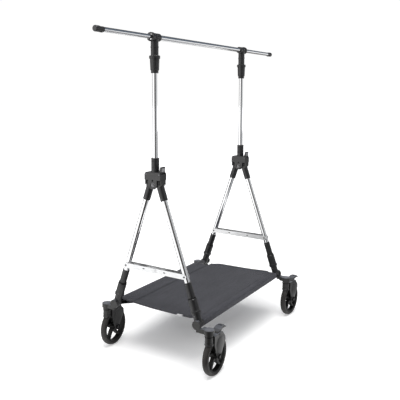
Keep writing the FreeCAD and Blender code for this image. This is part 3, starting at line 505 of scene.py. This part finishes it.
def tyre(end, side):
    """The tyre: a crowned tread, a bead ring on each flank and a foot that grips the rim."""
    half, inner = 0.0158, 0.0843
    flank = [(inner, -0.0128), (0.0862, -0.0140), (0.0872, -0.0152), (0.0884, -0.0153),
             (0.0892, -0.0147), (0.0902, -0.0149)]
    crown_centre, steps, fullness = 0.0905, 14, 0.75
    crown = []
    for step in range(1, 2 * steps):
        angle = math.radians(-90 + 90 * step / steps)
        reach = abs(math.cos(angle)) ** fullness * (WHEEL_RADIUS - crown_centre)
        crown.append((crown_centre + reach, half * math.sin(angle)))
    profile = flank + crown + [(radius, -across) for radius, across in reversed(flank)]
    made = Piece()
    place = castor_place(end, side) @ Matrix.Rotation(math.radians(90), 4, "X")
    made.turned(profile, place, 112)
    name = "tyre_%s_%s" % (end, side)
    wheel = JOINTS["wheel_%s_%s_spin" % (end, side)]
    piece = made.finish(name, rubber(name, wheel["pos_m"]), "tyre_rubber", wheel["child"], 60)
    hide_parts("wheel_tyre_%s_%s" % (end, side))


def castor_trim(end, side):
    """Raised cheek panels, axle cups, near-black housing rings painting the shade of the housing's grooves, the
    arm's cap and the pedal's ribs.
    """
    tag = "%s_%s" % (end, side)
    place = castor_place(end, side)
    fork = JOINTS["castor_%s_swivel" % tag]["child"]
    arm = JOINTS["castor_arm_%s_hinge" % tag]["child"]
    pedal = JOINTS["brake_%s_press" % tag]["child"]
    panel, cups = Piece(), Piece()
    for face in (-1, 1):
        out = place.to_3x3() @ Vector((0, face, 0))
        up = place.to_3x3() @ CHEEK_LEAN
        spot = place @ Vector((0, face * (CHEEK - SUNK), 0))
        panel.plate(teardrop(PANEL_FOOT, PANEL_HEAD, CHEEK_LEAN.length), PANEL_RISE,
                    facing(spot, out, up), 0.0012)
        cups.turned(band(CUP_INNER, CUP_OUTER, 0.0, CUP_HEIGHT, 0.0010),
                    facing(place @ Vector((0, face * (CHEEK + CUP_SEAT), 0)), out))
    panel.finish("fork_panels_" + tag, CASTOR_PLASTIC, "castor_plastic", fork)
    for inner, outer, low, high in HOUSING_GROOVE_SHADES:
        cups.turned(band(inner, outer, low, high), place @ Matrix.Translation((-TRAIL, 0, 0)))
    # painted shade: the housing rings are near-black for the grooves' shade; the axle cups are near-black too
    cups.finish("castor_cups_and_groove_shade_" + tag, BLACK_TRIM_AND_SHADE, "castor_plastic", fork)
    king = Vector(JOINTS["castor_%s_swivel" % tag]["pos_m"])
    cap = Piece()
    cap.turned(ARM_CAP, Matrix.Translation((king.x, king.y, ARM_TOP - ARM_CAP_SUNK)))
    cap.finish("arm_cap_" + tag, CAP, "castor_plastic", arm)
    ribs = Piece()
    for step in range(PEDAL_RIBS):
        spot = place @ Vector((RIB_START + RIB_STEP * step, 0,
                               RIB_HEIGHT - RIB_FALL * step - SUNK))
        ribs.plate(oval(RIB_LENGTH, RIB_WIDTH), RIB_RISE,
                   facing(spot, (0, 0, 1), place.to_3x3() @ Vector((1, 0, 0))), 0.0006)
    ribs.finish("pedal_ribs_" + tag, CASTOR_PLASTIC, "castor_plastic", pedal)


# ---------------------------------------------------------------------------- hubs, legs, spreaders
SLEEVE_MOUTH = 0.5868  # how far down the leg its release sleeve opens
# from the hub's middle out to a recess's floor, a screw's seat, a notch's back and the socket
RECESS_FLOOR, SCREW_SEAT, NOTCH_BACK, SOCKET_FACE = 0.0218, 0.0240, 0.0184, 0.0199
# from the hub's middle across and up to a screw and to the middle of a notch
SCREW_ACROSS, SCREW_UP = 0.040, 0.054
NOTCH_ACROSS, NOTCH_UP, NOTCH_HALF = 0.0385, 0.0130, 0.0110
SOCKET_DOMES = (0.088, 0.120)
LEG_RIVETS = ((0.080, 0.0189, 0.0034),  # drop down the leg, the leg's radius there, head radius
              (0.516, 0.0179, 0.0030),
              (0.672, 0.0194, 0.0030))
RIVET_RISE = 0.0011
SLOT_REACH, SLOT_LENGTH, SLOT_WIDTH = 0.118, 0.013, 0.0046


def on_leg(side, end, drop, out=(0, 0, 0)):
    """A point on a leg, the drop down from the hub pivot, moved out across the leg."""
    swing = Matrix.Rotation(end * LEG_ANGLE, 3, "X")
    down = swing @ Vector((0, end * LEG_OFFSET, -drop))
    return Vector((side * FRAME_HALF, 0, HUB_HEIGHT)) + down + swing @ Vector(out)


def leg_rivets(end_name, end):
    """Rivet heads on the leg heads, the ferrules and the feet, one on each side of the leg."""
    made = Piece()
    for side in SIDES.values():
        for drop, radius, size in LEG_RIVETS:
            for face in (-1, 1):
                spot = on_leg(side, end, drop, (face * radius, 0, 0))
                made.turned(dome(size, RIVET_RISE), facing(spot, (face, 0, 0)), 20)
    made.finish("leg_rivets_" + end_name, FASTENER, "fasteners", end_name + "_frame")


def sleeve_gap_shade(tag, side, end):
    """A near-black ring of painted shade in the gap where a leg's ferrule enters its release sleeve: it slides
    with the sleeve.
    """
    made = Piece()
    spot = on_leg(side, end, SLEEVE_MOUTH)
    made.turned(band(0.0181, 0.0212, 0, 0.0042, 0.0006), facing(spot, on_leg(side, end, 0) - spot))
    sleeve = JOINTS["leg_sleeve_%s_slide" % tag]["child"]
    made.finish("sleeve_gap_shade_" + tag, BLACK_TRIM_AND_SHADE, "black_plastic", sleeve)


def hub_trim(side_name, side):
    """Washers and screw heads, domes on the socket, near-black plates of painted shade at the notches' backs with
    ribs on them, a lever pad.
    """
    bright, dark, ribs, pad = Piece(), Piece(), Piece(), Piece()
    hub = Vector((side * FRAME_HALF, 0, HUB_HEIGHT))
    for face in (-1, 1):
        out = (face, 0, 0)
        floor = hub + Vector((face * RECESS_FLOOR, 0, 0))
        bright.turned(band(0.0098, 0.0116, 0, 0.0021, 0.0006), facing(floor, out))
        for end in (-1, 1):
            screw = hub + Vector((face * SCREW_SEAT, end * SCREW_ACROSS, SCREW_UP))
            bright.turned(dome(0.0024, 0.0009), facing(screw, out), 20)
            corner = hub + Vector((face * NOTCH_BACK, end * NOTCH_ACROSS, NOTCH_UP))
            # painted shade: a near-black plate at the notch's back stands for the shade inside the notch
            dark.plate(rectangle(-NOTCH_HALF, -NOTCH_HALF, NOTCH_HALF, NOTCH_HALF), 0.0010,
                       facing(corner, out), 0.0002)
            for step in (-1, 1):
                spot = corner + Vector((face * 0.0008, 0.0045 * step, 0.0015 * end * step))
                slanted = [(-0.0013, -0.0075), (0.0013, -0.0085), (0.0013, 0.0065),
                           (-0.0013, 0.0075)]
                ribs.plate(slanted, 0.0022, facing(spot, out), 0.0004)
        for height in SOCKET_DOMES:
            spot = hub + Vector((face * SOCKET_FACE, 0, height))
            dark.turned(dome(0.0026, 0.0009), facing(spot, out), 20)
    bright.finish("hub_screws_" + side_name, SCREW, "fasteners", HUB_BODY)
    dark.finish("hub_notch_shade_" + side_name, BLACK_TRIM_AND_SHADE, "black_plastic", HUB_BODY)
    ribs.finish("hub_ribs_" + side_name, PLASTIC, "black_plastic", HUB_BODY)
    thumb = hub + Vector((0, -0.0486, 0.0735))
    pad.plate(rectangle(-0.0135, -0.0065, 0.0135, 0.0125), 0.0012,
              facing(thumb, (0, -1, 0.02)), 0.0006)
    lever = JOINTS["hub_lever_%s_hinge" % side_name]["child"]
    pad.finish("lever_pad_" + side_name, LEVER_PAD, "black_plastic", lever)


def spreader_trim(tag):
    """Rivet heads on the spreader's leg pivot, and on each flank a thin near-black plate shaped as a slot, painted
    shade standing in for the hole.
    """
    name = "spreader_" + tag
    low, high = (Vector(corner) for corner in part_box(name))
    hinge = JOINTS[name + "_hinge"]
    pivot = Vector(hinge["pos_m"])
    inward = -1 if pivot.y > 0 else 1
    rivets, slots = Piece(), Piece()
    for face in (-1, 1):
        flank = high.x if face > 0 else low.x
        spot = Vector((flank - face * SUNK, pivot.y, pivot.z))
        rivets.turned(dome(0.0052, 0.0016), facing(spot, (face, 0, 0)), 24)
        width = (high.x - low.x) / 2 - 0.001
        spot = pivot + Vector((face * (width - 0.0001), inward * SLOT_REACH, 0.001))
        # painted shade: a slot-shaped near-black plate stands for the dark inside of the hole
        slots.plate(oval(SLOT_LENGTH, SLOT_WIDTH), 0.00035, facing(spot, (face, 0, 0)), 0.0001)
    rivets.finish("spreader_rivets_" + tag, FASTENER, "fasteners", hinge["child"])
    slots.finish("spreader_slot_shade_" + tag, BLACK_TRIM_AND_SHADE, "fasteners", hinge["child"])


# ---------------------------------------------------------------------------- shelf
HEM = 0.0154  # radius of a hem's middle layer round its side tube
HEM_SQUARE = 5.5  # power of the superellipse that fills out a hem's outer side
CLOTH_THICKNESS = 0.0011
FRONT_SEAM, BACK_SEAM = 0.027, 0.089  # from the side tubes' axes inwards
POCKET_EDGE = KNUCKLE.y - BACK_SEAM
POCKET_RIGHT = 0.342
SAG, SLACK = 0.0075, 0.0007
PULL, PULL_REACH, PULL_WAVES = 0.0011, 0.085, 13
HEM_HALF = 0.424
HEM_LEFT = 0.4293
END_HEM = 0.012
FOLD_WIDTH, FOLD_RISE = 0.0012, 0.0008


def sag(along, across):
    """How far the cloth hangs below its hems: a shallow bowl, a little slack and pulled corners."""
    depth = KNUCKLE.y
    share = max(0.0, 1 - (across / depth) ** 2)
    bowl = SAG * share ** 1.15 * (1 - 0.25 * (along / HEM_HALF) ** 2)
    slack = SLACK * share * math.sin(along * 19 + across * 7) * math.sin(across * 23 + 0.6)
    pulls = 0.0
    for side in (-1, 1):
        for end in (-1, 1):
            off_x, off_y = HEM_HALF - side * along, depth - end * across
            reach = math.hypot(off_x, off_y)
            fade = math.exp(-reach / PULL_REACH) * share ** 0.5
            pulls += PULL * fade * math.cos(PULL_WAVES * math.atan2(off_y, max(off_x, 1e-6)))
    return -bowl + slack + pulls


def eased(value, start, finish):
    """0 before start, 1 past finish, and a smooth rise between."""
    share = min(1.0, max(0.0, (value - start) / (finish - start)))
    return share * share * (3 - 2 * share)


def cloth_end(across, side):
    """Where the cloth ends: it is cut back to clear the feet, and bows in between them."""
    depth = KNUCKLE.y
    front = eased(across, 0.030 - depth, 0.062 - depth)
    if side < 0:
        back = 1 - eased(across, depth - 0.055, depth - 0.015)
        reach, slant, start = 0.0195, 0.029, -0.2
        return max(HEM_LEFT, HEM_HALF + (reach - slant * (across - start)) * min(front, back))
    reach, slant, start = 0.0180, 0.075, -0.211
    pull = 0.026 * eased(across, 0.115, POCKET_EDGE)
    return HEM_HALF + (reach - slant * (across - start)) * front - pull


def row_end(across, side, pocket):
    """A row's end; the right end of the back pocket stops short of the sheet."""
    return POCKET_RIGHT if pocket and side > 0 else cloth_end(across, side)


def step_up(distance):
    """0 before a seam and 1 past it, within the width of the fold."""
    return eased(distance, -FOLD_WIDTH / 2, FOLD_WIDTH / 2)


def top_of_cloth(along, across):
    """The height of the cloth's middle at a point between the two side tubes."""
    depth = KNUCKLE.y
    doubled = step_up(across - (depth - BACK_SEAM)) + step_up(-across - (depth - FRONT_SEAM))
    edge = step_up(abs(along) - (cloth_end(across, 1 if along > 0 else -1) - END_HEM))
    return KNUCKLE.z + HEM + sag(along, across) + FOLD_RISE * min(1.0, doubled + edge)


def hem_path(seam, end):
    """The hem from its seam under the cloth, round the outside of the tube and up to its top."""
    drop = HEM + sag(0, end * (KNUCKLE.y - seam)) - 2.2 * CLOTH_THICKNESS
    apart, angle = math.hypot(seam, drop), math.atan2(drop, seam)
    touch = angle - math.acos(HEM / apart)
    spots, straight, turns = [], 6, 30
    for step in range(straight):
        share = step / straight
        spots.append((seam + (HEM * math.cos(touch) - seam) * share,
                      drop + (HEM * math.sin(touch) - drop) * share))
    for step in range(turns):
        turn = touch + (-1.5 * math.pi - touch) * step / turns
        power = HEM_SQUARE if math.cos(turn) < 0 else 2
        square = (abs(math.cos(turn)) ** power + abs(math.sin(turn)) ** power) ** (-1 / power)
        spots.append((square * HEM * math.cos(turn), square * HEM * math.sin(turn)))
    return [(end * (KNUCKLE.y - inward), KNUCKLE.z + up) for inward, up in spots]


def hem_length(seam, end):
    spots = hem_path(seam, end)
    return sum(math.dist(here, there) for here, there in zip(spots, spots[1:]))


def across_spots():
    """Where the cloth's rows lie between the tubes: close together at the seams."""
    depth, count = KNUCKLE.y, 74
    spots = [-depth + 2 * depth * step / count for step in range(count + 1)]
    for seam in (depth - BACK_SEAM, FRONT_SEAM - depth):
        spots += [seam + 0.0006 * step for step in range(-2, 3)]
    return sorted(spots)


def shelf_cloth():
    """One cloth: a hem round each side tube and the sheet stretched between them."""
    columns = 150
    shares = [-1 + 2 * step / columns for step in range(columns + 1)]
    shares += [side * (1 - 0.028 + 0.0014 * step) for side in (-1, 1) for step in range(-1, 3)]
    shares.sort()
    rows = [(across, up, False) for across, up in hem_path(FRONT_SEAM, -1)]
    rows += [(across, None, across > POCKET_EDGE + 0.0002) for across in across_spots()]
    rows += [(across, up, True) for across, up in reversed(hem_path(BACK_SEAM, 1))]
    mesh, grid = bmesh.new(), []
    for across, up, pocket in rows:
        ends = [-row_end(across, -1, pocket), row_end(across, 1, pocket)]
        if up is not None:
            ends = [max(ends[0], -HEM_LEFT), min(ends[1], HEM_HALF)]
        line = []
        for share in shares:
            along = ends[0] + (ends[1] - ends[0]) * (share + 1) / 2
            height = top_of_cloth(along, across) if up is None else up
            line.append(mesh.verts.new((along, across, height)))
        grid.append(line)
    for low, high in zip(grid, grid[1:]):
        for column in range(len(shares) - 1):
            mesh.faces.new((low[column], low[column + 1], high[column + 1], high[column]))
    data = bpy.data.meshes.new("shelf_cloth")
    mesh.to_mesh(data)
    mesh.free()
    for face in data.polygons:
        face.use_smooth = True
    data.materials.append(CLOTH)
    made = bpy.data.objects.new("shelf_cloth", data)
    bpy.context.scene.collection.objects.link(made)
    thick = made.modifiers.new("thickness", "SOLIDIFY")
    thick.thickness = CLOTH_THICKNESS
    thick.offset = 0
    return made


def seam_stitches():
    """Two rows of stitches on the back seam, one on the front seam and one along each end."""
    length, gap, radius, taper = 0.0046, 0.0008, 0.0007, 0.0006
    made = Piece()

    def row(start, finish, spot_at):
        count = int((finish - start) / (length + gap))
        for step in range(count):
            middle = start + (step + 0.5) * (finish - start) / count
            first, last = spot_at(middle - length / 2), spot_at(middle + length / 2)
            along = last - first
            made.turned([(0, 0.0), (radius, taper), (radius, along.length - taper),
                         (0, along.length)], facing(first, along), 6)

    def on_top(along, across):
        return Vector((along, across, top_of_cloth(along, across) + CLOTH_THICKNESS / 2 + 0.0001))

    depth, from_seam, second_row, from_end, inset = KNUCKLE.y, 0.0022, 0.0082, 0.004, 0.0095
    for across, right in ((POCKET_EDGE + from_seam, POCKET_RIGHT - from_end),
                          (POCKET_EDGE + second_row, POCKET_RIGHT - from_end),
                          (FRONT_SEAM - depth - from_seam, HEM_HALF - from_end)):
        row(0.006 - HEM_HALF, right, lambda at, across=across: on_top(at, across))
    for side, finish in ((-1, depth - 0.060), (1, POCKET_EDGE - 0.006)):
        row(-depth + 0.062, finish,
            lambda at, side=side: on_top(side * (cloth_end(at, side) - inset), at))
    return made.finish("shelf_stitches", THREAD, "charcoal_fabric")


def blank_tag():
    """A small folded label with nothing on it, sewn under the cloth's left end."""
    made = Piece()
    middle, half, reach, corner = -0.137, 0.017, 0.009, 0.002
    outline = [(-half, -reach), (half, -reach), (half, reach - corner), (half - corner, reach),
               (corner - half, reach), (-half, reach - corner)]
    edge = -cloth_end(middle, -1)
    spot = Vector((edge + 0.0035, middle, top_of_cloth(edge, middle) + CLOTH_THICKNESS / 2))
    made.plate([(up, across) for across, up in outline], 0.0007,
               facing(spot, (-0.10, 0, 1), (0, 1, 0)), 0.0002)
    return made.finish("shelf_label", LABEL, "charcoal_fabric")


def shelf():
    cloth_piece = shelf_cloth()
    stitches, label = seam_stitches(), blank_tag()
    for piece in (cloth_piece, stitches, label):
        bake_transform(piece)
    wraps = hem_length(FRONT_SEAM, -1) + hem_length(BACK_SEAM, 1)
    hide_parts("shelf_sling")


# ---------------------------------------------------------------------------- studio
def camera():
    """The view down the rail's length from the left front, with the image's centre lowered."""
    yaw, pitch, roll = (math.radians(angle) for angle in (57.81, 6.42, 0.19))
    ahead = Vector((math.sin(yaw) * math.cos(pitch), math.cos(yaw) * math.cos(pitch),
                    -math.sin(pitch)))
    level = Vector((math.cos(yaw), -math.sin(yaw), 0))
    right = Matrix.Rotation(roll, 3, -ahead) @ level
    above = right.cross(ahead)
    lens = bpy.data.cameras.new("camera")
    lens.sensor_width = 36
    lens.lens = 49.8
    lens.shift_x, lens.shift_y = 0.002, -0.104
    made = bpy.data.objects.new("camera", lens)
    made.matrix_world = Matrix((right, above, -ahead)).transposed().to_4x4()
    made.location = (-2.6468, -1.6411, 1.3664)
    bpy.context.scene.collection.objects.link(made)
    bpy.context.scene.camera = made


def panel_light(name, place, aim, size, power, tint):
    light = bpy.data.lights.new(name, "AREA")
    light.shape = "RECTANGLE"
    light.size, light.size_y = size
    light.energy = power
    light.color = tint
    made = bpy.data.objects.new(name, light)
    made.location = place
    made.rotation_euler = (Vector(aim) - Vector(place)).to_track_quat("-Z", "Y").to_euler()
    bpy.context.scene.collection.objects.link(made)


def sky():
    """A white surround that turns to soft grey overhead."""
    world = bpy.data.worlds.new("studio")
    world.use_nodes = True
    tree = world.node_tree
    place = tree.nodes.new("ShaderNodeTexCoord")
    split = tree.nodes.new("ShaderNodeSeparateXYZ")
    ramp = tree.nodes.new("ShaderNodeValToRGB")
    tree.links.new(place.outputs["Generated"], split.inputs["Vector"])
    tree.links.new(split.outputs["Z"], ramp.inputs["Fac"])
    tree.links.new(ramp.outputs["Color"], tree.nodes["Background"].inputs["Color"])
    first, last = ramp.color_ramp.elements
    first.position, first.color = 0.38, (1, 1, 1, 1)
    last.position, last.color = 0.75, (0.30, 0.31, 0.33, 1)
    tree.nodes["Background"].inputs["Strength"].default_value = 1.02
    bpy.context.scene.world = world


def card(name, spot, aim, size, radiance, shades=False):
    """A board that the camera doesn't see: it draws the dark lines down a plated tube.

    One that shades also keeps the white surround's light off the object.
    """
    half, up = size[0] / 2, size[1] / 2
    mesh = bpy.data.meshes.new(name)
    mesh.from_pydata([(-half, -up, 0), (half, -up, 0), (half, up, 0), (-half, up, 0)], [],
                     [(0, 1, 2, 3)])
    made = bpy.data.objects.new(name, mesh)
    made.matrix_world = facing(Vector(spot), Vector(aim) - Vector(spot))
    board = bpy.data.materials.new(name)
    board.use_nodes = True
    surface = board.node_tree.nodes["Principled BSDF"]
    surface.inputs["Base Color"].default_value = (0, 0, 0, 1)
    surface.inputs["Specular IOR Level"].default_value = 0
    surface.inputs["Emission Color"].default_value = (*radiance, 1)
    surface.inputs["Emission Strength"].default_value = 1.0
    mesh.materials.append(board)
    made.visible_camera = False
    made.visible_diffuse = shades
    made.visible_shadow = False
    bpy.context.scene.collection.objects.link(made)


def round_about(azimuth, distance, height):
    """A point at an azimuth from the front, at a distance and height."""
    angle = math.radians(azimuth)
    return (distance * math.sin(angle), -distance * math.cos(angle), height)


def floor_paint():
    """The pale studio floor: it glows a little, more outside an ellipse about a point beside the object's middle,
    which is painted light that lifts and bounds the object's cast shadow, and more again far away, so that no
    horizon shows.
    """
    made = Shader("studio_floor")
    made.tint(made.noise(2.0, detail=2), (0.91, 0.91, 0.91), (0.93, 0.93, 0.93))
    made.constant(Roughness=0.8, Specular_IOR_Level=0.1, Emission_Color=(1, 1, 1, 1))
    away = made.add("ShaderNodeVectorMath", operation="LENGTH")
    made.link(made.stretched((1 / 0.62, 1 / 0.36, 1), (0.30, 0.12, 0)), away.inputs[0])
    # painted light: the glow is weakest in the ellipse and rises outside it, lifting and bounding the object's
    # cast shadow
    glow = made.span(away.outputs["Value"], 0.05, 0.38, 0.50, 1.30)
    made.link(made.combine(glow, made.span(away.outputs["Value"], 0.0, 0.5, 1.5, 7.0)),
              made.surface.inputs["Emission Strength"])
    return made.material


CARD_AWAY = 3.4
FLOOR_CARD_AWAY, FLOOR_CARD_DEPTH, FLOOR_CARD_LIFT = 2.1, 2.6, 0.003


def studio():
    """A pale floor, one soft light, and boards whose reflections draw the plated tubes."""
    half = 60.0
    mesh = bpy.data.meshes.new("studio_floor")
    mesh.from_pydata([(-half, -half, 0), (half, -half, 0), (half, half, 0), (-half, half, 0)], [],
                     [(0, 1, 2, 3)])
    mesh.materials.append(floor_paint())
    floor = bpy.data.objects.new("studio_floor", mesh)
    bpy.context.scene.collection.objects.link(floor)
    sky()
    panel_light("key", (-0.9, -0.5, 3.6), (0, 0, 0.2), (2.4, 2.4), 125, (1.0, 0.99, 0.98))
    dark, grey, blue = (0.060, 0.055, 0.050), (0.52, 0.53, 0.55), (0.16, 0.19, 0.235)
    edge, shade, line = (0.30, 0.295, 0.29), (0.42, 0.42, 0.43), (0.26, 0.29, 0.34)
    for name, azimuth, width, low, high, radiance, shades in (
            ("bright_card", -122, 1.2, 0.0, 3.0, (3.1, 3.07, 3.03), False),
            ("dark_card", -47, 2.9, -0.2, 4.2, dark, True),
            ("grey_card", 2, 2.6, 0.0, 3.2, grey, True),
            ("shade_card", 42, 2.4, 0.0, 0.95, shade, True),
            ("right_edge_card", 81, 2.8, 0.0, 0.95, edge, False),
            ("back_edge_card", 123, 2.5, 0.0, 1.2, edge, False),
            ("left_edge_card", 168, 3.8, 0.0, 2.1, edge, False)):
        middle = (low + high) / 2
        card(name, round_about(azimuth, CARD_AWAY, middle), (0, 0, middle),
             (width, high - low), radiance, shades)
    for name, azimuth, width, radiance in (
            ("dark_floor", -47, 1.9, dark), ("grey_floor", 10, 2.0, grey),
            ("shade_floor", 60, 1.9, shade), ("left_edge_floor", 168, 2.4, edge)):
        card(name, round_about(azimuth, FLOOR_CARD_AWAY, FLOOR_CARD_LIFT),
             round_about(azimuth, FLOOR_CARD_AWAY, 1), (width, FLOOR_CARD_DEPTH), radiance)
    card("rail_card", (3.6, -2.2, 4.75), (0, -2.2, 4.75), (4.8, 4.9), blue)
    card("rail_line", (3.6, 2.6, 4.3), (0, 2.6, 4.3), (4.6, 4.9), dark)
    card("rail_under", (6.2, 3.2, FLOOR_CARD_LIFT), (6.2, 3.2, 1), (4.4, 2.6), line)
    bpy.context.scene.view_settings.view_transform = "Standard"


camera()
studio()
shelf()
for end_name, end in ENDS.items():
    leg_rivets(end_name, end)
    for side_name, side in SIDES.items():
        tag = "%s_%s" % (end_name, side_name)
        tyre(end_name, side_name)
        castor_trim(end_name, side_name)
        spreader_trim(tag)
        sleeve_gap_shade(tag, side, end)
for side_name, side in SIDES.items():
    hub_trim(side_name, side)
for name in NODES:
    if name.startswith(SOFT_EDGED):
        soften(name)
